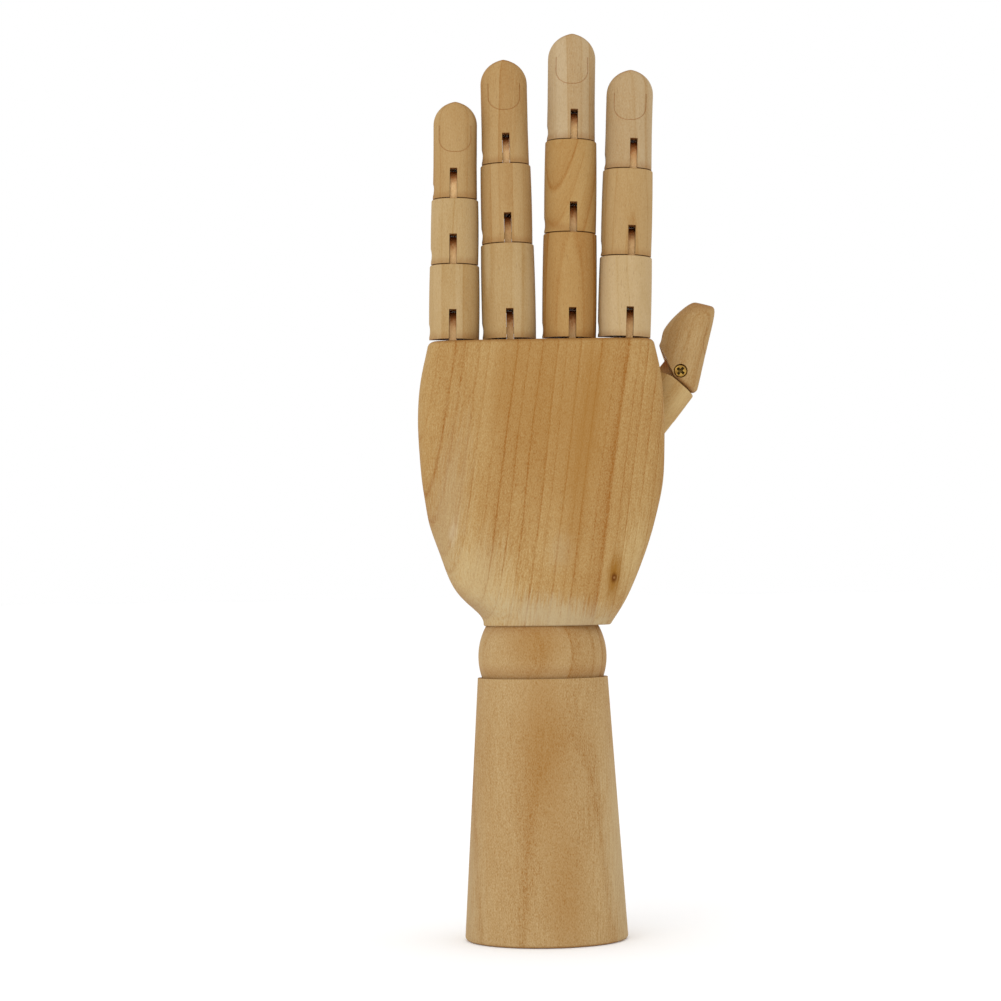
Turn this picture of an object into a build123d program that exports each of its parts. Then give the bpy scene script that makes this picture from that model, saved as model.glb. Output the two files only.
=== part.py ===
"""Wooden hand mannequin: a jointed left hand on a tapered forearm base.

Millimetres. +Z is up along the fingers, +X the thumb's side, +Y the palm's side.
The origin is the centre of the base's foot.
"""

import os
from math import acos, asin, atan2, ceil, cos, pi, radians, sin, sqrt, tan

from build123d import *

os.makedirs("parts", exist_ok=True)

# Forearm base
BASE_FOOT_D = 55.2
BASE_TOP_D = 44.0
BASE_H = 88.5
BASE_EDGE = 1.2
BORE_D = 13.0
ANCHOR_POCKET_D = 24.0
ANCHOR_POCKET_H = 32.0

# Wrist ball, its cup and socket, and the hourglass hole through it
BALL_D = 43.4
BALL_RISE = 7.0
BALL_CLEAR = 0.15
BALL_HOLE_D = 15.0
BALL_MOUTH_D = 25.0
BALL_THROAT_H = 10.0

# Steel parts of the wrist
BAR_D = 3.0
BAR_GAP = 0.1
BAR_END = 1.0
WIRE_D = 1.6
COIL_D = 8.4
COIL_PITCH = 2.4
COIL_LEAD = 6.0
HOOK_R = 5.0
ANCHOR_HOOK_R = 3.6
HOOK_TURN_ANGLE = 60.0
HOOK_MOUTH_ANGLE = 40.0
EYE_WIRE_D = 1.8
EYE_R = 3.4
EYE_DROP = 2.5
EYE_SHANK_D = 2.6
EYE_SHANK_GRIP = 19.0

# Palm: sections by height above its foot, with the reach to each side of the axis
PALM_FOOT_RISE = 10.5
PALM_H = 96.3
PALM_SECTIONS = (
    # height share, little side, thumb side, back, palm, fullness of the corners
    (0.000, 19.8, 23.2, 19.8, 20.0, 0.56),
    (0.042, 21.2, 25.9, 19.7, 20.9, 0.57),
    (0.100, 27.0, 29.2, 19.1, 21.9, 0.58),
    (0.190, 32.0, 33.1, 18.0, 22.8, 0.60),
    (0.300, 35.7, 37.0, 16.6, 22.6, 0.62),
    (0.420, 38.6, 40.2, 15.2, 20.0, 0.64),
    (0.540, 40.1, 42.1, 14.0, 14.6, 0.67),
    (0.660, 40.8, 42.5, 12.9, 10.6, 0.71),
    (0.780, 40.7, 42.4, 12.0, 9.6, 0.76),
    (0.890, 39.3, 41.4, 11.3, 9.5, 0.83),
    (1.000, 37.0, 39.3, 10.6, 9.7, 0.90),
)
PALM_EDGE = 2.2
PALM_FOOT_EDGE = 0.6

# Fingers from the little finger to the index: place and lean of the knuckle, and how far the
# slots sit to the side of the middle
LITTLE_X, LITTLE_ANGLE, LITTLE_SLOT = -28.2, 1.2, -0.4
RING_X, RING_ANGLE, RING_SLOT = -9.5, -0.4, 0.3
MIDDLE_X, MIDDLE_ANGLE, MIDDLE_SLOT = 10.7, 1.4, 0.9
INDEX_X, INDEX_ANGLE, INDEX_SLOT = 29.3, 2.2, 1.5

# Lengths from joint plane to joint plane or tip, and foot diameters, of the three pieces
LITTLE_L, LITTLE_D = (25.4, 22.2, 32.5), (16.9, 16.0, 15.0)
RING_L, RING_D = (32.2, 26.8, 34.9), (18.1, 17.1, 16.0)
MIDDLE_L, MIDDLE_D = (35.5, 31.2, 35.6), (18.2, 17.5, 16.3)
INDEX_L, INDEX_D = (27.4, 29.3, 33.2), (17.8, 17.0, 16.0)
KNUCKLE_LIFT = 0.3
TAPER = 0.2
TIP_TAPER = 0.3
BELLY = 0.15
TOP_EDGE = 0.6

# Thumb: place of its base joint on the palm, leans from upright, lengths and diameters
THUMB_X, THUMB_Y, THUMB_Z = 26.1, 12.6, 144.7
THUMB_BASE_ANGLE = 15.0
THUMB_BASE_FORWARD_ANGLE = 13.0
THUMB_BASE_L = 28.2
THUMB_BASE_D = 17.4
KNUCKLE_ANGLE = 30.0
THUMB_ANGLE = 38.0
THUMB_L = 23.0
THUMB_D = 17.4
TIP_JOINT_ANGLE = 40.0
TIP_ANGLE = 14.3
THUMB_TIP_L = 24.8
THUMB_TIP_D = 16.4
TIP_SHIFT = 0.7
THUMB_HEEL = 1.8
THUMB_ROOM = 0.7

# Every joint: a tongue glued in below, a slotted fork above, and a screw as the pin
JOINT_GAP = 0.25
PIVOT_H = 3.3
CLOSED_GAP = 0.25
TONGUE_T = 2.3
TONGUE_R = 6.4
TONGUE_SEAT = 8.0
TONGUE_SIDE = 0.1
SLOT_END = 0.4
FINGER_OPENING_ANGLE = 45.0
THUMB_BASE_OPENING_ANGLE = 35.0
THUMB_OPENING_ANGLE = 25.0
TIP_FORK_OPENING_ANGLE = 28.0
TIP_SEAT_OPENING_ANGLE = 16.0

# Joint screws
SCREW_D = 2.5
SCREW_RUN = 0.08
HEAD_D = 4.4
HEAD_H = 1.5
HEAD_SINK = 0.8
HEAD_CLEAR = 0.15
SCREW_END = 2.4
CROSS_W = 0.9
CROSS_L = 3.0
CROSS_DEPTH = 0.9

# Fingernail line and the shape of the tips
NAIL_W = 10.6
NAIL_L = 17.0
NAIL_SIDE = 9.0
NAIL_R = 4.6
NAIL_LINE = 0.25
NAIL_DEPTH = 0.15
PAD_SHARE = 0.52
PAD_CURVE = 1.5
TIP_DEPTH = 8.6
TIP_STEP_ANGLE = 14.0
TIP_ROWS = 6
NAIL_BEND = 0.08
TIP_ROUND = 1.6

REACH = 60.0
SPARE = 12.0
ROUND = 0.5523

# Heights that follow
BALL_R = BALL_D / 2
BALL_Z = BASE_H + BALL_RISE
SOCKET_R = BALL_R + BALL_CLEAR
PALM_Z = BALL_Z + PALM_FOOT_RISE
PALM_TOP = PALM_Z + PALM_H
KNUCKLE_Z = PALM_TOP + KNUCKLE_LIFT
SLOT_W = TONGUE_T + 2 * TONGUE_SIDE
SLOT_TOP = PIVOT_H + TONGUE_R + SLOT_END


def leaning(origin, lean, forward=0.0):
    """Joint plane that closes towards the palm; its normal leans to the thumb's side."""
    a = radians(lean)
    b = radians(forward)
    normal = (sin(a) * cos(b), sin(b), cos(a) * cos(b))
    return Plane(origin=origin, x_dir=(cos(a), 0, -sin(a)), z_dir=normal)


def crosswise(origin, lean):
    """Joint plane of the thumb that closes towards the fingers, with its hinge along +Y."""
    a = radians(lean)
    return Plane(origin=origin, x_dir=(0, 1, 0), z_dir=(sin(a), 0, cos(a)))


def front_of(plane):
    """Upright plane through a joint, seen from the back of the piece."""
    return Plane(origin=plane.origin, x_dir=plane.x_dir, z_dir=-plane.y_dir)


def side_of(plane):
    """Upright plane through a joint, across its hinge."""
    return Plane(origin=plane.origin, x_dir=plane.y_dir, z_dir=plane.x_dir)


def pivot_of(plane):
    """Point on the hinge of a joint."""
    return plane.origin + plane.z_dir * PIVOT_H


def hinge_of(plane, head_side):
    """Plane at the pivot whose normal runs along the screw towards its head."""
    return Plane(origin=pivot_of(plane), x_dir=plane.y_dir, z_dir=plane.x_dir * head_side)


def relief_start(fork_opening, seat_opening):
    """Where the relief of a seat starts, so that the closed joint keeps its gap."""
    fork = (PIVOT_H - JOINT_GAP) * cos(radians(fork_opening))
    seat = PIVOT_H * cos(radians(seat_opening))
    return (seat - fork - CLOSED_GAP) / sin(radians(seat_opening))


def oval(plane, left, right, back, front, fullness, middle=0.0):
    """Closed section of four curves that meet square to the axes."""
    f = fullness
    with BuildSketch(plane) as section:
        with BuildLine():
            for side, depth in ((right, front), (-left, front), (-left, -back), (right, -back)):
                Bezier(
                    (side, middle),
                    (side, middle + f * depth),
                    (f * side, middle + depth),
                    (0, middle + depth),
                )
        make_face()
    return section.sketch


def cut_fork(foot, body_d, opening, slot_x, head_side):
    """Cuts slot, palm-side relief, screw hole and head recess into the foot of a piece."""
    with BuildSketch(side_of(foot)) as relief:
        with BuildLine():
            Polyline(
                (0, JOINT_GAP),
                (0, -REACH),
                (REACH, -REACH),
                (REACH, JOINT_GAP + REACH * tan(radians(opening))),
                close=True,
            )
        make_face()
    extrude(relief.sketch, amount=REACH, both=True, mode=Mode.SUBTRACT)
    with BuildSketch(foot.offset(-REACH)) as slot:
        with Locations((slot_x, 0)):
            Rectangle(SLOT_W, REACH)
    extrude(slot.sketch, amount=REACH + SLOT_TOP, mode=Mode.SUBTRACT)
    hinge = hinge_of(foot, head_side)
    seat = body_d / 2 - HEAD_SINK - HEAD_H
    end = body_d / 2 - SCREW_END
    with BuildSketch(hinge.offset(-end)) as shank:
        Circle(SCREW_D / 2)
    extrude(shank.sketch, amount=end + seat, mode=Mode.SUBTRACT)
    with BuildSketch(hinge.offset(seat)) as recess:
        Circle(HEAD_D / 2 + HEAD_CLEAR)
    extrude(recess.sketch, amount=REACH, mode=Mode.SUBTRACT)


def cut_seat(top, fork_opening, seat_opening, slot_x):
    """Cuts the mortise for a glued tongue and the palm-side relief into the top of a piece."""
    start = relief_start(fork_opening, seat_opening)
    with BuildSketch(side_of(top)) as relief:
        with BuildLine():
            Polyline(
                (start, 0),
                (start, REACH),
                (REACH, REACH),
                (REACH, -(REACH - start) * tan(radians(seat_opening))),
                close=True,
            )
        make_face()
    extrude(relief.sketch, amount=REACH, both=True, mode=Mode.SUBTRACT)
    cut_mortise(top, slot_x)


def cut_mortise(top, slot_x):
    """Cuts the mortise for a glued tongue."""
    with BuildSketch(top.offset(-TONGUE_SEAT)) as mortise:
        with Locations((slot_x, 0)):
            Rectangle(TONGUE_T, 2 * TONGUE_R)
    extrude(mortise.sketch, amount=TONGUE_SEAT + PIVOT_H, mode=Mode.SUBTRACT)


def turned_piece(
    axis, length, foot_d, top_d, foot, top, opening, seat_openings, slot_x=0.0, head_side=-1
):
    """Turned piece between two joint planes, with a fork below and a mortise above."""
    with BuildPart() as piece:
        with BuildSketch(front_of(axis)):
            with BuildLine():
                Polyline(
                    (top_d / 2, length),
                    (top_d / 2, length + SPARE),
                    (0, length + SPARE),
                    (0, -SPARE),
                    (foot_d / 2, -SPARE),
                    (foot_d / 2, 0),
                )
                ThreePointArc(
                    (foot_d / 2, 0),
                    ((foot_d + top_d) / 4 + BELLY, length / 2),
                    (top_d / 2, length),
                )
            make_face()
        revolve(axis=Axis(axis.origin, axis.z_dir))
        split(bisect_by=foot.offset(JOINT_GAP), keep=Keep.TOP)
        split(bisect_by=top, keep=Keep.BOTTOM)
        fillet(piece.faces().sort_by(Axis(top.origin, top.z_dir))[-1].edges(), TOP_EDGE)
        cut_fork(foot, foot_d, opening, slot_x, head_side)
        cut_seat(top, *seat_openings, slot_x)
    return piece.part


def tip_body(axis, length, foot_d, inset):
    """Fingertip: turned below, rounded over at the end, its pad curving back to the nail."""
    r = foot_d / 2 - TIP_TAPER / 2 - inset
    end = length - inset
    dome = end - r
    pad = end - PAD_SHARE * length
    step = radians(TIP_STEP_ANGLE)
    straight = ceil((dome - pad) / (r * step)) + 2
    low = dome - straight * r * step
    sections = []
    for row in range(-straight, TIP_ROWS + 1):
        a = max(0.0, row * step)
        height = dome + min(0, row) * r * step + r * sin(a)
        turn_in = TIP_ROUND * (1 - cos(a)) ** 3
        back = r * (1 - NAIL_BEND * (1 - cos(a))) - turn_in
        bend = max(0.0, (height - pad) / (end - pad))
        front = TIP_DEPTH - r + (2 * r - TIP_DEPTH) * (1 - bend**PAD_CURVE) - turn_in
        middle = (front - back) / 2
        depth = (front + back) / 2
        width = r * cos(a)
        sections.append(oval(axis.offset(height), width, width, depth, depth, ROUND, middle))
    foot_r = foot_d / 2 - inset
    shank = [
        oval(axis.offset(height), width, width, width, width, ROUND)
        for height, width in ((-SPARE, foot_r), (0, foot_r), (low, r))
    ]
    with BuildPart() as body:
        loft(shank, ruled=True)
        loft(sections)
    return body.part


def tip_piece(axis, length, foot_d, foot, opening, slot_x=0.0, head_side=-1, heel=0.0):
    """Last piece of a finger, with its fork, its heel and the scribed line of the nail."""
    core = tip_body(axis, length, foot_d, NAIL_DEPTH)
    with BuildPart() as line:
        with BuildSketch(front_of(axis)) as nail:
            with BuildLine():
                FilletPolyline(
                    (-NAIL_W / 2, length - NAIL_L + NAIL_SIDE),
                    (-NAIL_W / 2, length - NAIL_L),
                    (NAIL_W / 2, length - NAIL_L),
                    (NAIL_W / 2, length - NAIL_L + NAIL_SIDE),
                    radius=NAIL_R,
                )
            trace(line_width=NAIL_LINE)
        extrude(amount=REACH)
        add(core, mode=Mode.SUBTRACT)
    with BuildPart() as piece:
        add(tip_body(axis, length, foot_d, 0.0))
        split(bisect_by=foot.offset(JOINT_GAP), keep=Keep.TOP)
        if heel:
            fillet(piece.faces().sort_by(Axis(foot.origin, foot.z_dir))[0].edges(), heel)
        cut_fork(foot, foot_d, opening, slot_x, head_side)
        add(line.part, mode=Mode.SUBTRACT)
    return piece.part


def tongue(top, slot_x=0.0):
    """Flat wooden tongue with a round end, bored for the screw."""
    with BuildPart() as plate:
        with BuildSketch(side_of(top).offset(slot_x)):
            with Locations((0, (PIVOT_H - TONGUE_SEAT) / 2)):
                Rectangle(2 * TONGUE_R, PIVOT_H + TONGUE_SEAT)
            with Locations((0, PIVOT_H)):
                Circle(TONGUE_R)
                Circle(SCREW_D / 2 + SCREW_RUN, mode=Mode.SUBTRACT)
        extrude(amount=TONGUE_T / 2, both=True)
    return plate.part


def joint_screw(foot, body_d, head_side=-1):
    """Screw that pins a joint, with a cross recess in its head."""
    hinge = hinge_of(foot, head_side)
    seat = body_d / 2 - HEAD_SINK - HEAD_H
    end = body_d / 2 - SCREW_END
    with BuildPart() as screw:
        with BuildSketch(hinge.offset(-end)):
            Circle(SCREW_D / 2)
        extrude(amount=end + seat)
        with BuildSketch(hinge.offset(seat)):
            Circle(HEAD_D / 2)
        extrude(amount=HEAD_H)
        rim = screw.edges().filter_by(GeomType.CIRCLE).sort_by(Axis(hinge.origin, hinge.z_dir))
        fillet(rim[-1], HEAD_H / 4)
        with BuildSketch(hinge.offset(seat + HEAD_H)):
            Rectangle(CROSS_W, CROSS_L)
            Rectangle(CROSS_L, CROSS_W)
        extrude(amount=-CROSS_DEPTH, mode=Mode.SUBTRACT)
    return screw.part


def arcs_between(start, heading, end, end_heading):
    """Draws two arcs that join two points smoothly in the given directions."""
    span = end - start
    both = heading + end_heading
    a = 2 * heading.dot(end_heading) - 2
    b = -2 * span.dot(both)
    c = span.dot(span)
    reach = (-b - sqrt(b * b - 4 * a * c)) / (2 * a)
    first = start + heading * reach
    last = end - end_heading * reach
    middle = (first + last) * 0.5
    TangentArc(start, middle, tangent=heading)
    TangentArc(middle, end, tangent=last - first)


def coil_point(turn, top):
    """Point of the coil and the direction of the wire there, going down."""
    a = 2 * pi * turn
    fall = atan2(COIL_PITCH, pi * COIL_D)
    point = Vector(COIL_D / 2 * cos(a), COIL_D / 2 * sin(a), top - COIL_PITCH * turn)
    heading = Vector(-sin(a) * cos(fall), cos(a) * cos(fall), -sin(fall))
    return point, heading


# Forearm base with its socket, bore and the pocket for the anchor bar
with BuildPart() as forearm_base:
    rim_r = sqrt(SOCKET_R**2 - BALL_RISE**2)
    mouth_z = BALL_Z - sqrt(SOCKET_R**2 - (BORE_D / 2) ** 2)
    rim_angle = asin(BALL_RISE / SOCKET_R)
    mouth_angle = acos(BORE_D / 2 / SOCKET_R)
    mid_angle = (rim_angle + mouth_angle) / 2
    with BuildSketch(Plane.XZ):
        with BuildLine():
            Polyline(
                (BORE_D / 2, mouth_z),
                (BORE_D / 2, ANCHOR_POCKET_H),
                (ANCHOR_POCKET_D / 2, ANCHOR_POCKET_H),
                (ANCHOR_POCKET_D / 2, 0),
                (BASE_FOOT_D / 2, 0),
                (BASE_TOP_D / 2, BASE_H),
                (rim_r, BASE_H),
            )
            ThreePointArc(
                (rim_r, BASE_H),
                (SOCKET_R * cos(mid_angle), BALL_Z - SOCKET_R * sin(mid_angle)),
                (BORE_D / 2, mouth_z),
            )
        make_face()
    revolve(axis=Axis.Z)
    foot_edges = forearm_base.faces().sort_by(Axis.Z)[0].edges().sort_by(SortBy.LENGTH)
    fillet(foot_edges[-1], BASE_EDGE)

# Wrist ball, bored so that hook and eye can tilt inside it
with BuildPart() as wrist_ball:
    mouth_h = sqrt(BALL_R**2 - (BALL_MOUTH_D / 2) ** 2)
    with BuildSketch(Plane.XZ):
        with BuildLine():
            Polyline(
                (BALL_MOUTH_D / 2, BALL_Z - mouth_h),
                (BALL_HOLE_D / 2, BALL_Z - BALL_THROAT_H / 2),
                (BALL_HOLE_D / 2, BALL_Z + BALL_THROAT_H / 2),
                (BALL_MOUTH_D / 2, BALL_Z + mouth_h),
            )
            ThreePointArc(
                (BALL_MOUTH_D / 2, BALL_Z + mouth_h),
                (BALL_R, BALL_Z),
                (BALL_MOUTH_D / 2, BALL_Z - mouth_h),
            )
        make_face()
    revolve(axis=Axis.Z)

# Anchor bar under the shoulder of the base
BAR_Z = ANCHOR_POCKET_H - BAR_GAP - BAR_D / 2
with BuildPart() as spring_anchor_bar:
    bar_l = ANCHOR_POCKET_D - 2 * BAR_END
    with BuildSketch(Plane.YZ.offset(-bar_l / 2)):
        with Locations((0, BAR_Z)):
            Circle(BAR_D / 2)
    extrude(amount=bar_l)
    fillet(spring_anchor_bar.edges().filter_by(GeomType.CIRCLE), BAR_D / 8)

# Extension spring: hook at the centre of the ball, coil in the bore, hook round the bar
DOWN = Vector(0, 0, -1)
hook_turn_reach = 2 * sin(radians(HOOK_TURN_ANGLE))
hook_low = BALL_Z - HOOK_R - HOOK_R * hook_turn_reach
anchor_z = BAR_Z - BAR_D / 2 - WIRE_D / 2 + ANCHOR_HOOK_R
anchor_top = anchor_z + ANCHOR_HOOK_R * hook_turn_reach
coil_room_top = BALL_Z - SOCKET_R
coil_turns = int((coil_room_top - anchor_top - 2 * COIL_LEAD) / COIL_PITCH)
coil_top = (coil_room_top + anchor_top + COIL_PITCH * coil_turns) / 2
with BuildPart() as wrist_spring:
    with BuildLine() as wire:
        hook_mid = Vector(0, 0, BALL_Z - HOOK_R)
        turn = radians(HOOK_TURN_ANGLE)
        mouth = radians(HOOK_MOUTH_ANGLE)
        hook_end = hook_mid + Vector(cos(mouth), 0, -sin(mouth)) * HOOK_R
        hook_turn = hook_mid + Vector(-cos(turn), 0, -sin(turn)) * HOOK_R
        ThreePointArc(hook_end, hook_mid + Vector(0, 0, HOOK_R), hook_turn)
        TangentArc(hook_turn, (0, 0, hook_low), tangent=(sin(turn), 0, -cos(turn)))
        coil_start, coil_heading = coil_point(0, coil_top)
        lead_in = Vector(0, 0, coil_top + COIL_LEAD)
        Line((0, 0, hook_low), lead_in)
        arcs_between(lead_in, DOWN, coil_start, coil_heading)
        for half_turn in range(2 * coil_turns):
            here = coil_point(half_turn / 2, coil_top)
            there = coil_point((half_turn + 1) / 2, coil_top)
            arcs_between(*here, *there)
        lead_out = Vector(0, 0, coil_top - COIL_PITCH * coil_turns - COIL_LEAD)
        arcs_between(*coil_point(coil_turns, coil_top), lead_out, DOWN)
        Line(lead_out, (0, 0, anchor_top))
        loop_mid = Vector(0, 0, anchor_z)
        loop_turn = loop_mid + Vector(0, -cos(turn), sin(turn)) * ANCHOR_HOOK_R
        loop_end = loop_mid + Vector(0, cos(mouth), sin(mouth)) * ANCHOR_HOOK_R
        TangentArc((0, 0, anchor_top), loop_turn, tangent=DOWN)
        ThreePointArc(loop_turn, loop_mid - Vector(0, 0, ANCHOR_HOOK_R), loop_end)
    with BuildSketch(Plane(origin=wire.line @ 0, z_dir=wire.line % 0)):
        Circle(WIRE_D / 2)
    sweep(path=wire.line)

# Screw eye in the palm, held by the spring at the centre of the ball
EYE_Z = BALL_Z - EYE_DROP + EYE_R
EYE_TOP = BALL_Z + SOCKET_R + EYE_SHANK_GRIP
with BuildPart() as palm_screw_eye:
    with BuildSketch(Plane.XZ):
        with Locations((0, EYE_Z + EYE_R)):
            Circle(EYE_WIRE_D / 2)
    revolve(axis=Axis((0, 0, EYE_Z), (1, 0, 0)))
    with BuildSketch(Plane.XY.offset(EYE_Z + EYE_R)):
        Circle(EYE_SHANK_D / 2)
    extrude(amount=EYE_TOP - EYE_Z - EYE_R)
    fillet(palm_screw_eye.faces().sort_by(Axis.Z)[-1].edges(), EYE_SHANK_D / 4)

# Joint planes of the thumb, from the palm to the tip
thumb_root = leaning((THUMB_X, THUMB_Y, THUMB_Z), THUMB_BASE_ANGLE, THUMB_BASE_FORWARD_ANGLE)
thumb_knuckle = crosswise(thumb_root.origin + thumb_root.z_dir * THUMB_BASE_L, KNUCKLE_ANGLE)
thumb_axis = crosswise(pivot_of(thumb_knuckle), THUMB_ANGLE)
tip_pivot = thumb_axis.origin + thumb_axis.z_dir * THUMB_L
tip_aside = crosswise(tip_pivot, TIP_ANGLE).y_dir * TIP_SHIFT
tip_axis = crosswise(tip_pivot + tip_aside, TIP_ANGLE)
tip_normal = crosswise(tip_pivot, TIP_JOINT_ANGLE).z_dir
thumb_tip = crosswise(tip_pivot - tip_normal * PIVOT_H, TIP_JOINT_ANGLE)

# Knuckle planes of the fingers
fingers = {
    "little": (leaning((LITTLE_X, 0, KNUCKLE_Z), LITTLE_ANGLE), LITTLE_L, LITTLE_D, LITTLE_SLOT),
    "ring": (leaning((RING_X, 0, KNUCKLE_Z), RING_ANGLE), RING_L, RING_D, RING_SLOT),
    "middle": (leaning((MIDDLE_X, 0, KNUCKLE_Z), MIDDLE_ANGLE), MIDDLE_L, MIDDLE_D, MIDDLE_SLOT),
    "index": (leaning((INDEX_X, 0, KNUCKLE_Z), INDEX_ANGLE), INDEX_L, INDEX_D, INDEX_SLOT),
}

# Palm with its cup, knuckle mortises and the channel for the thumb
with BuildPart() as palm:
    loft(
        [
            oval(Plane.XY.offset(PALM_Z + share * PALM_H), left, right, back, front, full)
            for share, left, right, back, front, full in PALM_SECTIONS
        ]
    )
    fillet(palm.faces().sort_by(Axis.Z)[-1].edges(), PALM_EDGE)
    fillet(palm.faces().sort_by(Axis.Z)[0].edges(), PALM_FOOT_EDGE)
    with BuildSketch(Plane.XZ) as cup:
        with BuildLine():
            Line((0, BALL_Z - SOCKET_R), (0, BALL_Z + SOCKET_R))
            ThreePointArc((0, BALL_Z + SOCKET_R), (SOCKET_R, BALL_Z), (0, BALL_Z - SOCKET_R))
        make_face()
    revolve(axis=Axis.Z, mode=Mode.SUBTRACT)
    with BuildSketch(Plane.XY.offset(BALL_Z)):
        Circle(EYE_SHANK_D / 2)
    extrude(amount=EYE_TOP - BALL_Z, mode=Mode.SUBTRACT)
    with BuildSketch(Plane.YZ):
        with BuildLine():
            start = relief_start(FINGER_OPENING_ANGLE, FINGER_OPENING_ANGLE)
            drop = (REACH - start) * tan(radians(FINGER_OPENING_ANGLE))
            Polyline(
                (start, PALM_TOP),
                (start, PALM_TOP + SPARE),
                (REACH, PALM_TOP + SPARE),
                (REACH, PALM_TOP - drop),
                close=True,
            )
        make_face()
    extrude(amount=REACH, both=True, mode=Mode.SUBTRACT)
    room = THUMB_BASE_D / 2 + THUMB_ROOM
    with BuildSketch(thumb_root):
        Circle(room)
        with Locations((0, REACH / 2)):
            Rectangle(2 * room, REACH)
        with Locations((REACH / 2, (REACH - room) / 2)):
            Rectangle(REACH, REACH + room)
    extrude(amount=REACH, mode=Mode.SUBTRACT)
    cut_seat(thumb_root, THUMB_BASE_OPENING_ANGLE, THUMB_BASE_OPENING_ANGLE, 0.0)
    for knuckle, lengths, diameters, slot_x in fingers.values():
        cut_mortise(knuckle, slot_x)

pieces = {
    "forearm_base": forearm_base.part,
    "spring_anchor_bar": spring_anchor_bar.part,
    "wrist_spring": wrist_spring.part,
    "wrist_ball": wrist_ball.part,
    "palm": palm.part,
    "palm_screw_eye": palm_screw_eye.part,
}

# Fingers: three pieces, three tongues and three screws each
straight = (FINGER_OPENING_ANGLE, FINGER_OPENING_ANGLE)
for name, (knuckle, lengths, diameters, slot_x) in fingers.items():
    medial = knuckle.offset(lengths[0])
    distal = medial.offset(lengths[1])
    proximal_top = diameters[0] - TAPER
    medial_top = diameters[1] - TAPER
    pieces[f"{name}_proximal"] = turned_piece(
        knuckle,
        lengths[0],
        diameters[0],
        proximal_top,
        knuckle,
        medial,
        FINGER_OPENING_ANGLE,
        straight,
        slot_x,
    )
    pieces[f"{name}_medial"] = turned_piece(
        medial,
        lengths[1],
        diameters[1],
        medial_top,
        medial,
        distal,
        FINGER_OPENING_ANGLE,
        straight,
        slot_x,
    )
    pieces[f"{name}_distal"] = tip_piece(
        distal, lengths[2], diameters[2], distal, FINGER_OPENING_ANGLE, slot_x
    )
    joints = (("knuckle", knuckle), ("medial", medial), ("distal", distal))
    for (joint, plane), diameter in zip(joints, diameters):
        pieces[f"{name}_{joint}_tongue"] = tongue(plane, slot_x)
        pieces[f"{name}_{joint}_screw"] = joint_screw(plane, diameter)

# Thumb: its base closes towards the palm, the two pieces above it towards the fingers
pieces["thumb_base"] = turned_piece(
    thumb_root,
    THUMB_BASE_L,
    THUMB_BASE_D,
    THUMB_BASE_D,
    thumb_root,
    thumb_knuckle,
    THUMB_BASE_OPENING_ANGLE,
    (THUMB_OPENING_ANGLE, THUMB_OPENING_ANGLE),
    head_side=1,
)
pieces["thumb_proximal"] = turned_piece(
    thumb_axis,
    THUMB_L,
    THUMB_D,
    THUMB_D,
    thumb_knuckle,
    thumb_tip,
    THUMB_OPENING_ANGLE,
    (TIP_FORK_OPENING_ANGLE, TIP_SEAT_OPENING_ANGLE),
)
pieces["thumb_distal"] = tip_piece(
    tip_axis, THUMB_TIP_L, THUMB_TIP_D, thumb_tip, TIP_FORK_OPENING_ANGLE, heel=THUMB_HEEL
)
thumb_joints = (
    ("base", thumb_root, THUMB_BASE_D, 1),
    ("proximal", thumb_knuckle, THUMB_D, -1),
    ("distal", thumb_tip, THUMB_TIP_D, -1),
)
for joint, plane, diameter, head_side in thumb_joints:
    pieces[f"thumb_{joint}_tongue"] = tongue(plane)
    pieces[f"thumb_{joint}_screw"] = joint_screw(plane, diameter, head_side)

for name, piece in pieces.items():
    piece.label = name
    export_step(piece, f"parts/{name}.step")
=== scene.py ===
"""Looks of the wooden hand mannequin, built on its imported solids.

Metres, in the solids' frame: +Z up along the fingers, +X the thumb's side, +Y the palm's side.
"""
from math import cos, radians, sin

import bpy
from mathutils import Euler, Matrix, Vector


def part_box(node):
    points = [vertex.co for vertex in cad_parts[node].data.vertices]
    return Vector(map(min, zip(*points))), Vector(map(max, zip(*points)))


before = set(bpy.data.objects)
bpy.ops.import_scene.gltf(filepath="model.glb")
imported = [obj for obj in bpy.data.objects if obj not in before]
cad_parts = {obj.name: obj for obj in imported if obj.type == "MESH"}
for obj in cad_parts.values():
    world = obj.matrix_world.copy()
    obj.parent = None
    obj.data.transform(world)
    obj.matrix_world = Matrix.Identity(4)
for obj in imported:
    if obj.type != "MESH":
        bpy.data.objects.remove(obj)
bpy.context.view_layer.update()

# Units, and the sockets of a colour mix
MM = 0.001
MM_PER_M = 1000.0
MIX_FACTOR, MIX_A, MIX_B, MIX_OUT = 0, 6, 7, 2

# Camera, matched to the photograph
CAMERA_PLACE = (-0.0138, -0.96, 0.121)
CAMERA_ROLL = 0.9
SENSOR_MM = 36.0
LENS_MM = 102.0
HORIZON_SHIFT = 0.081

# Light
WHITE = "#ffffff"
SKY_STRENGTH = 1.0
KEY_PLACE = (-0.7, -1.3, 1.0)
KEY_AIM = (0.0, 0.0, 0.16)
KEY_SIZE = 1.2
KEY_POWER = 5.6

# Floor
FLOOR_SIDE = 40.0
FLOOR_DROP = 0.0001
FLOOR_ROUGHNESS = 0.9
FLOOR_GLOSS = 0.1
PAPER_WHITE = "#fbfbfb"
GLOW_STRENGTH = 0.06

# Tones of the wood: pale early wood, its body, and the orange late wood
CREAM = ("#c2ae8e", "#b29974", "#9f7b4c")
STRAW = ("#c0a780", "#b09366", "#9c7540")
TAN = ("#ba9e72", "#ab8a5b", "#976a36")
HONEY = ("#ba9c6a", "#a98450", "#94622b")
PEACH = ("#e0be90", "#d4ae7a", "#bc9058")

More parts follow.
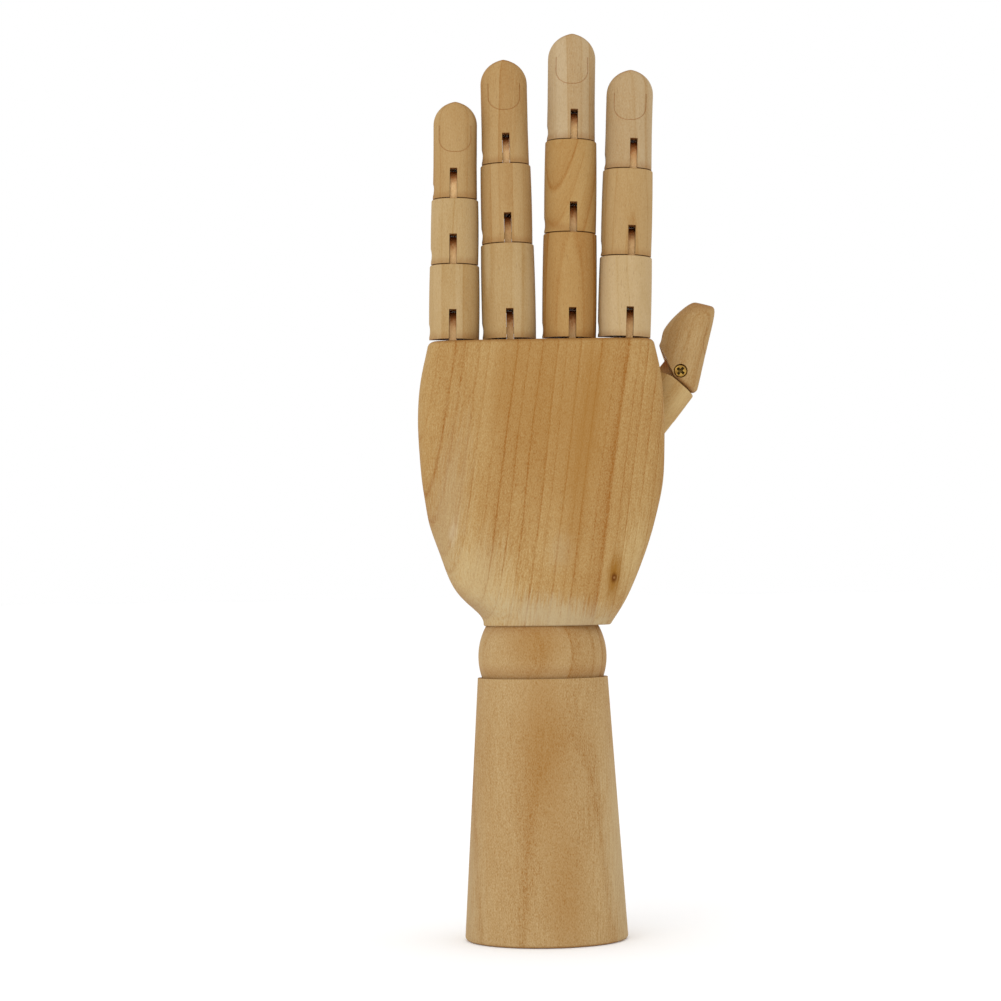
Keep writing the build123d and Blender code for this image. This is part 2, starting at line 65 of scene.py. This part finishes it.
# How far the wood goes past its palest and its deepest tone, in steps from its body
PALEST_STEP = 0.8
DEEPEST_STEP = 0.5

# Colours of pores, end grain with worn rims and painted shadow, painted shade in hollows and on the
# tongues' free ends, painted light on edges along with a scuff, and marks
PORE_BROWN = "#6f4a26"
END_GRAIN_WEAR_AND_SHADE_BROWN = "#8a5726"
HOLLOW_SHADE_BROWN = "#b8702c"
TONGUE_SHADE_BROWN = "#a05418"
HEART_ORANGE = "#98692c"
LIT_EDGE_AND_SCUFF_CREAM = "#b7a887"
SCUFF_WHITE = "#d2c3a6"
KNOT_BROWN = "#8c5a0a"
KNOT_DARK = "#5a2a02"
KNOT_HEART = "#b98a50"

# Cloudy patterns of the wood: width in millimetres, times longer along the grain, and detail.
# The pores and the speckle are drawn a little coarse, to show.
CLOUDS = {
    "wobble": (24.0, 5.0, 1.5),
    "jitter": (4.0, 5.0, 2.0),
    "mottle": (12.0, 3.5, 3.0),
    "fibre": (0.55, 16.0, 3.0),
    "speckle": (0.30, 2.2, 2.0),
    "pore": (0.30, 6.0, 1.0),
}

# Growth rings: how far they waver in millimetres, and changes over the years, in waves a year
WAVER = {"wobble": 1.6, "jitter": 0.12}
CHANGES = {"uneven": 0.6, "band": 0.45, "vigour": 1.3}
CHANGE_DETAIL = 1.5
UNEVEN_YEARS = 1.2
VIGOUR_LOW, VIGOUR_HIGH, VIGOUR_LEAST = 0.32, 0.68, 0.45

# One year's growth: late wood comes slowly and ends in a dark line
LATE_WOOD = ((0.0, 0.30), (0.07, 0.0), (0.55, 0.05), (0.84, 0.25), (0.95, 1.0), (1.0, 0.30))

# Depth of tone: the body's depth, what a strength of 1 adds, and each pattern's share and middle
BODY_DEPTH = 0.5
DEPTH_SPAN = 0.5
SHARES = {
    "line": (0.46, 0.13),
    "ring": (0.20, 0.50),
    "band": (0.34, 0.50),
    "mottle": (0.62, 0.50),
    "fibre": (0.40, 0.50),
    "speckle": (1.00, 0.50),
}

# Where pores, end grain, painted shade in hollows and marks start, where they are full, and how
# strong they are. The painted shade in hollows is found by the shade of walls within its reach in
# millimetres.
PORE_START, PORE_FULL, PORE_STRENGTH = 0.62, 0.78, 0.30
END_START, END_FULL, END_STRENGTH = 0.45, 0.95, 0.58
HOLLOW_SHADE_START, HOLLOW_SHADE_FULL, HOLLOW_SHADE_STRENGTH = 0.75, 0.30, 0.85
HOLLOW_SHADE_REACH = 2.5
MARK_START, MARK_FULL = 1.5, 0.6
SHADE_SAMPLES = 8

# Sanded surface, with its relief in millimetres
WOOD_ROUGHNESS = (0.52, 0.72)
HOLLOW_ROUGHNESS = 0.35
RELIEF_STRENGTH = 0.25
RELIEF_DEPTH = 0.06
WOOD_IOR = 1.5
WOOD_GLOSS = 0.05

# Brass and steel: tones, and the widths of dull spots and of the oil film in millimetres.
# Grime is found by the shade of the recess, from walls within its reach in millimetres.
BRASS_TONES = ((0.30, "#83602a"), (0.70, "#c39c50"))
BRASS_SPOT = 1.2
BRASS_DETAIL = 3.0
BRASS_ROUGHNESS = (0.36, 0.20)
RECESS_GRIME = "#20150a"
RECESS_REACH = 1.5
GRIME_START, GRIME_FULL, GRIME_STRENGTH = 0.92, 0.55, 0.95
STEEL_TONES = ((0.30, "#77777a"), (0.75, "#a9a9ab"))
STEEL_FILM = 2.5
STEEL_DETAIL = 4.0
STEEL_ROUGHNESS = (0.45, 0.28)
STEEL_PIECES = ("spring_anchor_bar", "wrist_spring", "palm_screw_eye")

# Distance along the tree between two pieces' wood, in millimetres
SEED_STEP = 173.0

# Marks on the wood: place from the piece's middle and half sizes in millimetres, strength, colour.
# Without a colour, a mark is paler wood below zero and deeper wood above.
KNOT = (23.4, -18.5, -32.4)
KNOT_STREAK = (23.4, -18.5, -31.6)
PALM_MARKS = (
    # Orange heart wood on the back of the hand
    ((4.2, -18.5, 27.9), (30.0, 40.0, 44.0), 0.40, HEART_ORANGE),
    ((14.7, -18.5, 15.9), (9.5, 40.0, 64.0), 0.55, HEART_ORANGE),
    ((-13.1, -18.5, 36.9), (8.0, 40.0, 28.0), 0.24, HEART_ORANGE),
    # Painted light low on both sides, as paler wood, and a deeper strip on the thumb's side
    ((-19.8, -16.5, -37.2), (19.0, 40.0, 24.0), -0.42, None),
    ((30.2, -13.5, -24.2), (6.0, 40.0, 24.0), -0.30, None),
    ((26.2, -15.5, 5.9), (8.0, 40.0, 36.0), 0.14, None),
    # Painted light in cream on the little finger's side and round the wrist
    ((-32.8, -9.5, -14.2), (10.0, 40.0, 50.0), 0.28, LIT_EDGE_AND_SCUFF_CREAM),
    ((-21.8, -11.5, -35.2), (15.0, 40.0, 26.0), 0.24, LIT_EDGE_AND_SCUFF_CREAM),
    ((5.2, -13.5, -46.2), (38.0, 40.0, 11.0), 0.60, LIT_EDGE_AND_SCUFF_CREAM),
    # Knot: a brown streak, a dark ring and a paler heart
    (KNOT_STREAK, (3.3, 40.0, 11.0), 0.85, KNOT_BROWN),
    (KNOT, (1.9, 40.0, 2.5), 0.97, KNOT_DARK),
    (KNOT, (0.6, 40.0, 0.7), 0.50, KNOT_HEART),
    # Two faint scuffs
    ((-30.3, -14.5, -16.2), (2.2, 12.0, 8.0), 0.25, SCUFF_WHITE),
    ((5.2, -18.5, -23.2), (6.5, 12.0, 9.0), 0.18, LIT_EDGE_AND_SCUFF_CREAM),
)
BASE_MARKS = (
    # Orange heart wood down the front
    ((-0.5, -24.0, 21.8), (13.0, 30.0, 46.0), 0.44, HEART_ORANGE),
    ((6.5, -26.0, -28.2), (9.0, 30.0, 28.0), 0.34, HEART_ORANGE),
    # Paler wood low on the thumb's side, and painted shade high on the other, as deeper wood
    ((22.0, -18.0, -14.2), (9.0, 30.0, 50.0), -0.20, None),
    ((-24.0, -10.0, 17.8), (12.0, 40.0, 60.0), 0.12, None),
    # Painted light in cream on both sides of the foot
    ((-28.0, -6.0, -20.2), (10.0, 40.0, 56.0), 0.26, LIT_EDGE_AND_SCUFF_CREAM),
    ((28.0, -6.0, -20.2), (12.0, 40.0, 56.0), 0.34, LIT_EDGE_AND_SCUFF_CREAM),
)
BALL_MARKS = (
    # Orange heart wood in front, and brown bands of painted shadow under the palm and at the base's
    # rim
    ((-2.0, -20.0, 4.5), (13.0, 30.0, 12.0), 0.44, HEART_ORANGE),
    ((-4.0, 0.0, 14.5), (60.0, 60.0, 9.0), 0.65, END_GRAIN_WEAR_AND_SHADE_BROWN),
    ((0.0, 0.0, -5.0), (60.0, 60.0, 3.5), 0.30, END_GRAIN_WEAR_AND_SHADE_BROWN),
)
THUMB_PROXIMAL_MARKS = (
    # A pale strip of painted light on the outer side, and an orange tint all over
    ((10.3, -18.9, 4.6), (3.4, 30.0, 16.0), -0.80, None),
    ((5.3, -18.9, -0.4), (30.0, 30.0, 40.0), 0.22, HEART_ORANGE),
)
THUMB_DISTAL_MARKS = (
    # Paler wood along the middle
    ((1.1, -19.0, 1.3), (6.0, 30.0, 20.0), -0.30, None),
)

# Fingers: tones of their pieces from the knuckle to the tip, and the look of their grain
FINGER_PIECES = ("proximal", "medial", "distal")
FINGER_TONES = {
    "little": (STRAW, STRAW, TAN),
    "ring": (STRAW, TAN, TAN),
    "middle": (HONEY, HONEY, CREAM),
    "index": (STRAW, TAN, CREAM),
}
FINGER_RING = 3.6
FINGER_LINES = 0.65
FINGER_FLECK = 0.6
FINGER_SEED = 10

# Finger pieces that are deeper than their tone, or paler below zero, and those whose grain leans
DEEPER = {
    "middle_proximal": 0.16,
    "middle_distal": 0.05,
    "ring_distal": 0.12,
    "index_proximal": -0.18,
    "index_medial": -0.06,
    "index_distal": 0.06,
}
LEANING = {"middle_medial": 22.0}

# Where the fingers' piths lie, in degrees and millimetres, and how their grain tilts
PITH_BEARING, PITH_TURN = 60.0, 137.0
PITH_NEAR, PITH_STEP, PITH_STEPS = 30.0, 14.0, 4
TILT_STEP, TILT_STEPS = 1.5, 5

# Rubbed lower rims of the finger pieces: half sizes in millimetres, and strength
RIM_RUB = (30.0, 30.0, 3.2)
RIM_STRENGTH = 0.40

# Tongues: half sizes of the painted shade on their free ends, and their grain, in millimetres
TIP_SHADE_WIDTH = 30.0
TIP_SHADE_HEIGHT, TIP_SHADE_STEP, TIP_SHADE_STEPS = 6.5, 1.1, 4
TIP_SHADE_STRENGTH = 0.85
TONGUE_PITH = (40.0, 10.0)
TONGUE_RING = 3.5
TONGUE_SEED = 50


def linear(colour):
    """Linear values of an sRGB hex colour."""
    shares = [int(colour[i : i + 2], 16) / 255 for i in (1, 3, 5)]
    return [s / 12.92 if s <= 0.04045 else ((s + 0.055) / 1.055) ** 2.4 for s in shares] + [1.0]


def node(tree, kind, settings=None, inputs=None, stops=()):
    """Adds a node with its settings, its inputs set or linked, and the stops of its ramp."""
    made = tree.nodes.new("ShaderNode" + kind)
    for name, value in (settings or {}).items():
        setattr(made, name, value)
    for name, value in (inputs or {}).items():
        if isinstance(value, bpy.types.NodeSocket):
            tree.links.new(value, made.inputs[name])
        else:
            made.inputs[name].default_value = value
    # A new ramp has two stops already
    for place, _ in stops[2:]:
        made.color_ramp.elements.new(place)
    for number, (place, colour) in enumerate(stops):
        element = made.color_ramp.elements[number]
        element.position = place
        element.color = colour if isinstance(colour, list) else [colour, colour, colour, 1.0]
    return made


def new_material(name):
    """Starts a material and gives it with its empty tree."""
    material = bpy.data.materials.new(name)
    material.use_nodes = True
    material.node_tree.nodes.clear()
    return material, material.node_tree


def dress(piece, material):
    """Gives a solid its material."""
    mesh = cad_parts[piece].data
    mesh.materials.clear()
    mesh.materials.append(material)


def cloud_patterns(tree, wood):
    """Cloudy patterns of the wood, each stretched along the grain."""
    clouds = {}
    for name, (width, stretch, detail) in CLOUDS.items():
        drawn = node(
            tree,
            "VectorMath",
            {"operation": "MULTIPLY"},
            {0: wood, 1: (1.0, 1.0, 1 / stretch)},
        ).outputs["Vector"]
        clouds[name] = node(
            tree, "TexNoise", None, {"Vector": drawn, "Scale": 1 / width, "Detail": detail}
        ).outputs["Fac"]
    return clouds


def growth_rings(tree, wood, clouds, ring):
    """Dark edges of the growth rings, each ring's own tone, and bands of several rings."""
    # Wavering distance from the pith, counted in years
    across = node(
        tree, "VectorMath", {"operation": "MULTIPLY"}, {0: wood, 1: (1.0, 1.0, 0.0)}
    ).outputs["Vector"]
    distance = node(tree, "VectorMath", {"operation": "LENGTH"}, {0: across}).outputs["Value"]
    for name, reach in WAVER.items():
        distance = node(
            tree,
            "Math",
            {"operation": "MULTIPLY_ADD"},
            {0: clouds[name], 1: 2 * reach, 2: distance},
        ).outputs["Value"]
    years = node(tree, "Math", {"operation": "DIVIDE"}, {0: distance, 1: ring}).outputs["Value"]

    # Changes over the years
    changes = {}
    for name, waves in CHANGES.items():
        changes[name] = node(
            tree,
            "TexNoise",
            {"noise_dimensions": "1D"},
            {"W": years, "Scale": waves, "Detail": CHANGE_DETAIL},
        ).outputs["Fac"]
    spread = node(
        tree,
        "Math",
        {"operation": "MULTIPLY_ADD"},
        {0: changes["uneven"], 1: UNEVEN_YEARS, 2: years},
    ).outputs["Value"]

    # Dark edges, stronger in some years than in others
    year = node(tree, "Math", {"operation": "FRACT"}, {0: spread}).outputs["Value"]
    late_wood = node(tree, "ValToRGB", None, {"Fac": year}, LATE_WOOD).outputs["Color"]
    vigour = node(
        tree,
        "MapRange",
        None,
        {
            "Value": changes["vigour"],
            "From Min": VIGOUR_LOW,
            "From Max": VIGOUR_HIGH,
            "To Min": VIGOUR_LEAST,
        },
    ).outputs["Result"]
    line = node(tree, "Math", {"operation": "MULTIPLY"}, {0: late_wood, 1: vigour}).outputs["Value"]

    # Tone of each ring
    number = node(tree, "Math", {"operation": "FLOOR"}, {0: spread}).outputs["Value"]
    tone = node(
        tree, "TexWhiteNoise", {"noise_dimensions": "1D"}, {"W": number}
    ).outputs["Value"]
    return {"line": line, "ring": tone, "band": changes["band"]}


def frayed_patch(tree, place, fibre, centre, half_sizes, lean, strength):
    """Cover of a round patch that leans with the grain, with its edge frayed by the fibres."""
    near = node(
        tree,
        "Mapping",
        {"vector_type": "TEXTURE"},
        {
            "Vector": place,
            "Location": centre,
            "Rotation": Euler((0.0, radians(lean), 0.0)),
            "Scale": Vector(half_sizes) * MM,
        },
    ).outputs["Vector"]
    reach = node(tree, "VectorMath", {"operation": "LENGTH"}, {0: near}).outputs["Value"]
    frayed = node(tree, "Math", {"operation": "ADD"}, {0: reach, 1: fibre}).outputs["Value"]
    return node(
        tree,
        "MapRange",
        {"interpolation_type": "SMOOTHSTEP"},
        {"Value": frayed, "From Min": MARK_START, "From Max": MARK_FULL, "To Max": strength},
    ).outputs["Result"]


def shaded_places(tree, reach, start, full, strength):
    """Cover of the places that walls of the same piece shade, within a reach in millimetres."""
    openness = node(
        tree,
        "AmbientOcclusion",
        {"samples": SHADE_SAMPLES, "only_local": True},
        {"Distance": reach * MM},
    ).outputs["AO"]
    return node(
        tree,
        "MapRange",
        None,
        {"Value": openness, "From Min": start, "From Max": full, "To Max": strength},
    ).outputs["Result"]


def depth_of_tone(tree, patterns, strengths, deep):
    """Depth of the wood's tone, from the sum of its patterns."""
    depth = BODY_DEPTH + deep * DEPTH_SPAN
    for name, (share, middle_value) in SHARES.items():
        change = node(
            tree, "Math", {"operation": "SUBTRACT"}, {0: patterns[name], 1: middle_value}
        ).outputs["Value"]
        depth = node(
            tree,
            "Math",
            {"operation": "MULTIPLY_ADD"},
            {0: change, 1: share * strengths[name] * DEPTH_SPAN, 2: depth},
        ).outputs["Value"]
    return depth


def wood_colour(tree, tone, depth):
    """Colour of the wood by its depth of tone, in even steps from its palest to its deepest."""
    pale, body, late = (linear(colour) for colour in tone)
    palest = [p + PALEST_STEP * (p - b) for p, b in zip(pale, body)]
    deepest = [d + DEEPEST_STEP * (d - b) for d, b in zip(late, body)]
    steps = (palest, pale, body, late, deepest)
    scale = [(number / (len(steps) - 1), step) for number, step in enumerate(steps)]
    return node(tree, "ValToRGB", None, {"Fac": depth}, scale).outputs["Color"]


def sanded_surface(tree, colour, fibre, pore, hollow_shade):
    """Surface of sanded wood, with the relief of its fibres and pores, rougher in shaded hollows.
    """
    smooth, rough = WOOD_ROUGHNESS
    sanded = node(
        tree, "MapRange", None, {"Value": fibre, "To Min": smooth, "To Max": rough}
    ).outputs["Result"]
    roughness = node(
        tree,
        "Math",
        {"operation": "MULTIPLY_ADD"},
        {0: hollow_shade, 1: HOLLOW_ROUGHNESS, 2: sanded},
    ).outputs["Value"]
    height = node(tree, "Math", {"operation": "SUBTRACT"}, {0: fibre, 1: pore}).outputs["Value"]
    relief = node(
        tree,
        "Bump",
        None,
        {"Height": height, "Strength": RELIEF_STRENGTH, "Distance": RELIEF_DEPTH * MM},
    ).outputs["Normal"]
    return node(
        tree,
        "BsdfPrincipled",
        None,
        {
            "Base Color": colour,
            "Roughness": roughness,
            "Normal": relief,
            "IOR": WOOD_IOR,
            "Specular IOR Level": WOOD_GLOSS,
        },
    ).outputs["BSDF"]


def sanded_hardwood(
    piece,
    tone,
    pith,
    lean=0.0,
    tilt=0.0,
    ring=3.0,
    seed=0,
    contrast=1.0,
    lines=1.0,
    fleck=1.0,
    deep=0.0,
    marks=(),
):
    """Gives a piece sanded, unfinished hardwood: soft growth rings, fine fibres and short pores.

    End grain soaks up more and looks darker, and hollows are rougher, with painted shade in brown
    where walls of the same piece shade them. The rings are round the pith, at a place across the
    grain in millimetres from the piece's middle. The grain leans to the thumb's side and tilts
    towards the palm's side, in degrees. A ring width, in millimetres, below zero puts the dark side
    of each ring inwards. Contrast is that of the rings and the mottle, lines that of the rings'
    dark edges, fleck that of the fine flecks, and deep makes the whole piece deeper. The seed sets
    the place along the tree, and the marks are listed as above.
    """
    material, tree = new_material(f"sanded_hardwood_{piece}")
    low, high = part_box(piece)
    middle = (low + high) / 2
    turn = Euler((radians(tilt), -radians(lean), 0.0))
    grain = turn.to_matrix().transposed() @ Vector((0, 0, 1))
    in_tree = Vector((pith[0], pith[1], seed * SEED_STEP))
    coordinates = node(tree, "TexCoord").outputs

    # Place in the tree, in millimetres, and the patterns there
    wood = node(
        tree,
        "Mapping",
        None,
        {
            "Vector": coordinates["Object"],
            "Location": -(turn.to_matrix() @ (middle * MM_PER_M)) - in_tree,
            "Rotation": turn,
            "Scale": (MM_PER_M, MM_PER_M, MM_PER_M),
        },
    ).outputs["Vector"]
    clouds = cloud_patterns(tree, wood)
    patterns = {**clouds, **growth_rings(tree, wood, clouds, ring)}

    # Depth of tone, with each pattern as strong as this piece has it
    strengths = {
        "line": contrast * lines,
        "ring": contrast,
        "band": contrast,
        "mottle": contrast,
        "fibre": fleck,
        "speckle": fleck,
    }
    depth = depth_of_tone(tree, patterns, strengths, deep)

    # Marks: those without a colour change the depth, the others tint the wood
    tints = []
    for place, half_sizes, strength, mark_colour in marks:
        centre = middle + Vector(place) * MM
        cover = frayed_patch(
            tree, coordinates["Object"], clouds["fibre"], centre, half_sizes, lean, strength
        )
        if mark_colour:
            tints.append((cover, mark_colour))
        else:
            depth = node(
                tree, "Math", {"operation": "MULTIPLY_ADD"}, {0: cover, 1: DEPTH_SPAN, 2: depth}
            ).outputs["Value"]

    # Pores, end grain, painted shade in hollows and tints over the wood's own colour
    pore = node(
        tree,
        "MapRange",
        None,
        {
            "Value": clouds["pore"],
            "From Min": PORE_START,
            "From Max": PORE_FULL,
            "To Max": PORE_STRENGTH,
        },
    ).outputs["Result"]
    facing = node(
        tree,
        "VectorMath",
        {"operation": "DOT_PRODUCT"},
        {0: coordinates["Normal"], 1: grain},
    ).outputs["Value"]
    square = node(tree, "Math", {"operation": "ABSOLUTE"}, {0: facing}).outputs["Value"]
    end_grain = node(
        tree,
        "MapRange",
        None,
        {"Value": square, "From Min": END_START, "From Max": END_FULL, "To Max": END_STRENGTH},
    ).outputs["Result"]
    # Painted shade: darker brown where walls of the same piece shade the wood, which is also
    # rougher there
    hollow_shade = shaded_places(tree, HOLLOW_SHADE_REACH, HOLLOW_SHADE_START, HOLLOW_SHADE_FULL, HOLLOW_SHADE_STRENGTH)
    colour = wood_colour(tree, tone, depth)
    layers = [(pore, PORE_BROWN), (end_grain, END_GRAIN_WEAR_AND_SHADE_BROWN), (hollow_shade, HOLLOW_SHADE_BROWN), *tints]
    for layer, layer_colour in layers:
        colour = node(
            tree,
            "Mix",
            {"data_type": "RGBA"},
            {MIX_FACTOR: layer, MIX_A: colour, MIX_B: linear(layer_colour)},
        ).outputs[MIX_OUT]

    surface = sanded_surface(tree, colour, clouds["fibre"], pore, hollow_shade)
    node(tree, "OutputMaterial", None, {"Surface": surface})
    dress(piece, material)


def uneven_metal(tree, width, detail, tones, roughness):
    """Colour and roughness of metal that is duller in places, of a width in millimetres."""
    place = node(tree, "TexCoord").outputs["Object"]
    spots = node(
        tree, "TexNoise", None, {"Vector": place, "Scale": MM_PER_M / width, "Detail": detail}
    ).outputs["Fac"]
    stops = [(at, linear(tone)) for at, tone in tones]
    colour = node(tree, "ValToRGB", None, {"Fac": spots}, stops).outputs["Color"]
    dull, bright = roughness
    dullness = node(
        tree, "MapRange", None, {"Value": spots, "To Min": dull, "To Max": bright}
    ).outputs["Result"]
    return colour, dullness


def dulled_brass():
    """Plain brass screws, dulled by handling: a soft sheen, with dark grime in the cross recess."""
    material, tree = new_material("dulled_brass")
    brass, dullness = uneven_metal(tree, BRASS_SPOT, BRASS_DETAIL, BRASS_TONES, BRASS_ROUGHNESS)
    grime = shaded_places(tree, RECESS_REACH, GRIME_START, GRIME_FULL, GRIME_STRENGTH)
    colour = node(
        tree,
        "Mix",
        {"data_type": "RGBA"},
        {MIX_FACTOR: grime, MIX_A: brass, MIX_B: linear(RECESS_GRIME)},
    ).outputs[MIX_OUT]
    surface = node(
        tree,
        "BsdfPrincipled",
        None,
        {"Base Color": colour, "Roughness": dullness, "Metallic": 1.0},
    ).outputs["BSDF"]
    node(tree, "OutputMaterial", None, {"Surface": surface})
    return material


def drawn_steel():
    """Drawn steel wire and bar: plain grey, with a sheen that an uneven film of oil dulls."""
    material, tree = new_material("drawn_steel")
    steel, dullness = uneven_metal(tree, STEEL_FILM, STEEL_DETAIL, STEEL_TONES, STEEL_ROUGHNESS)
    surface = node(
        tree,
        "BsdfPrincipled",
        None,
        {"Base Color": steel, "Roughness": dullness, "Metallic": 1.0},
    ).outputs["BSDF"]
    node(tree, "OutputMaterial", None, {"Surface": surface})
    return material


def dress_palm_and_wrist():
    """Gives the palm, the base and the ball their wood."""
    sanded_hardwood(
        "palm",
        HONEY,
        pith=(-140, -55),
        lean=9.5,
        ring=3.9,
        seed=1,
        contrast=0.88,
        lines=1.2,
        fleck=1.3,
        marks=PALM_MARKS,
    )
    sanded_hardwood(
        "forearm_base",
        TAN,
        pith=(2.1, -7.1),
        lean=-2.1,
        tilt=7,
        ring=-7.6,
        seed=2,
        contrast=0.85,
        lines=0.65,
        fleck=1.7,
        marks=BASE_MARKS,
    )
    sanded_hardwood(
        "wrist_ball", TAN, pith=(60, 90), tilt=2, ring=7, seed=3, fleck=1.5, marks=BALL_MARKS
    )


def dress_fingers():
    """Gives each finger piece wood from another side of the tree, with a rubbed lower rim."""
    pieces = [
        (f"{finger}_{name}", tone)
        for finger, tones in FINGER_TONES.items()
        for name, tone in zip(FINGER_PIECES, tones)
    ]
    for seed, (piece, tone) in enumerate(pieces, FINGER_SEED):
        bearing = radians(PITH_BEARING + PITH_TURN * seed)
        away = PITH_NEAR + PITH_STEP * (seed % PITH_STEPS)
        low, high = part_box(piece)
        rim = (0.0, 0.0, (low.z - high.z) / 2 * MM_PER_M)
        sanded_hardwood(
            piece,
            tone,
            pith=(away * cos(bearing), away * sin(bearing)),
            lean=LEANING.get(piece, 0.0),
            tilt=TILT_STEP * (seed % TILT_STEPS - TILT_STEPS // 2),
            ring=FINGER_RING,
            seed=seed,
            lines=FINGER_LINES,
            fleck=FINGER_FLECK,
            deep=DEEPER.get(piece, 0.0),
            marks=[(rim, RIM_RUB, RIM_STRENGTH, END_GRAIN_WEAR_AND_SHADE_BROWN)],
        )


def dress_thumb():
    """Gives the thumb's three pieces their wood."""
    sanded_hardwood("thumb_base", STRAW, pith=(30, 12), lean=15, seed=31)
    sanded_hardwood(
        "thumb_proximal",
        HONEY,
        pith=(-30, 35),
        lean=36,
        seed=32,
        deep=-0.34,
        marks=THUMB_PROXIMAL_MARKS,
    )
    sanded_hardwood(
        "thumb_distal",
        TAN,
        pith=(20, -40),
        lean=14,
        seed=33,
        contrast=0.5,
        marks=THUMB_DISTAL_MARKS,
    )


def dress_tongues():
    """Gives each tongue paler wood, with painted shade at its free end, on some further than on
    others.
    """
    for number, piece in enumerate(sorted(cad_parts)):
        if piece.endswith("_tongue"):
            low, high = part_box(piece)
            free_end = (0.0, 0.0, (high.z - low.z) / 2 * MM_PER_M)
            # Painted shade on the free end, which lies deep in the slot
            length = TIP_SHADE_HEIGHT + TIP_SHADE_STEP * (number % TIP_SHADE_STEPS)
            tip_shade = (TIP_SHADE_WIDTH, TIP_SHADE_WIDTH, length)
            sanded_hardwood(
                piece,
                PEACH,
                pith=TONGUE_PITH,
                ring=TONGUE_RING,
                seed=TONGUE_SEED + number,
                marks=[(free_end, tip_shade, TIP_SHADE_STRENGTH, TONGUE_SHADE_BROWN)],
            )


def dress_metal():
    """Gives the screws their brass and the wrist's inner parts their steel."""
    brass = dulled_brass()
    steel = drawn_steel()
    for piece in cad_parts:
        if piece.endswith("_screw"):
            dress(piece, brass)
    for piece in STEEL_PIECES:
        dress(piece, steel)


def build_floor():
    """Plain floor of white paper, which glows a little to stay white."""
    bpy.ops.mesh.primitive_plane_add(size=FLOOR_SIDE, location=(0, 0, -FLOOR_DROP))
    floor = bpy.context.object
    floor.name = "floor"
    material, tree = new_material("white_paper")
    surface = node(
        tree,
        "BsdfPrincipled",
        None,
        {
            "Base Color": linear(PAPER_WHITE),
            "Roughness": FLOOR_ROUGHNESS,
            "Specular IOR Level": FLOOR_GLOSS,
            "Emission Color": linear(WHITE),
            "Emission Strength": GLOW_STRENGTH,
        },
    ).outputs["BSDF"]
    node(tree, "OutputMaterial", None, {"Surface": surface})
    floor.data.materials.append(material)


def build_light():
    """Even white surround, with one large soft light from the upper left in front."""
    world = bpy.data.worlds.new("white_surround")
    bpy.context.scene.world = world
    world.use_nodes = True
    surround = world.node_tree.nodes["Background"].inputs
    surround["Color"].default_value = linear(WHITE)
    surround["Strength"].default_value = SKY_STRENGTH
    light = bpy.data.lights.new("key", "AREA")
    light.size = KEY_SIZE
    light.energy = KEY_POWER
    key = bpy.data.objects.new("key", light)
    bpy.context.scene.collection.objects.link(key)
    key.location = KEY_PLACE
    aim = Vector(KEY_AIM) - key.location
    key.rotation_euler = aim.to_track_quat("-Z", "Y").to_euler()


def build_camera():
    """Camera at the photograph's viewing angle."""
    lens = bpy.data.cameras.new("camera")
    lens.sensor_width = SENSOR_MM
    lens.lens = LENS_MM
    lens.shift_y = HORIZON_SHIFT
    camera = bpy.data.objects.new("camera", lens)
    bpy.context.scene.collection.objects.link(camera)
    camera.location = CAMERA_PLACE
    camera.rotation_euler = (radians(90), radians(CAMERA_ROLL), 0)
    bpy.context.scene.camera = camera


dress_palm_and_wrist()
dress_fingers()
dress_thumb()
dress_tongues()
dress_metal()
build_floor()
build_light()
build_camera()
bpy.context.scene.view_settings.view_transform = "Standard"
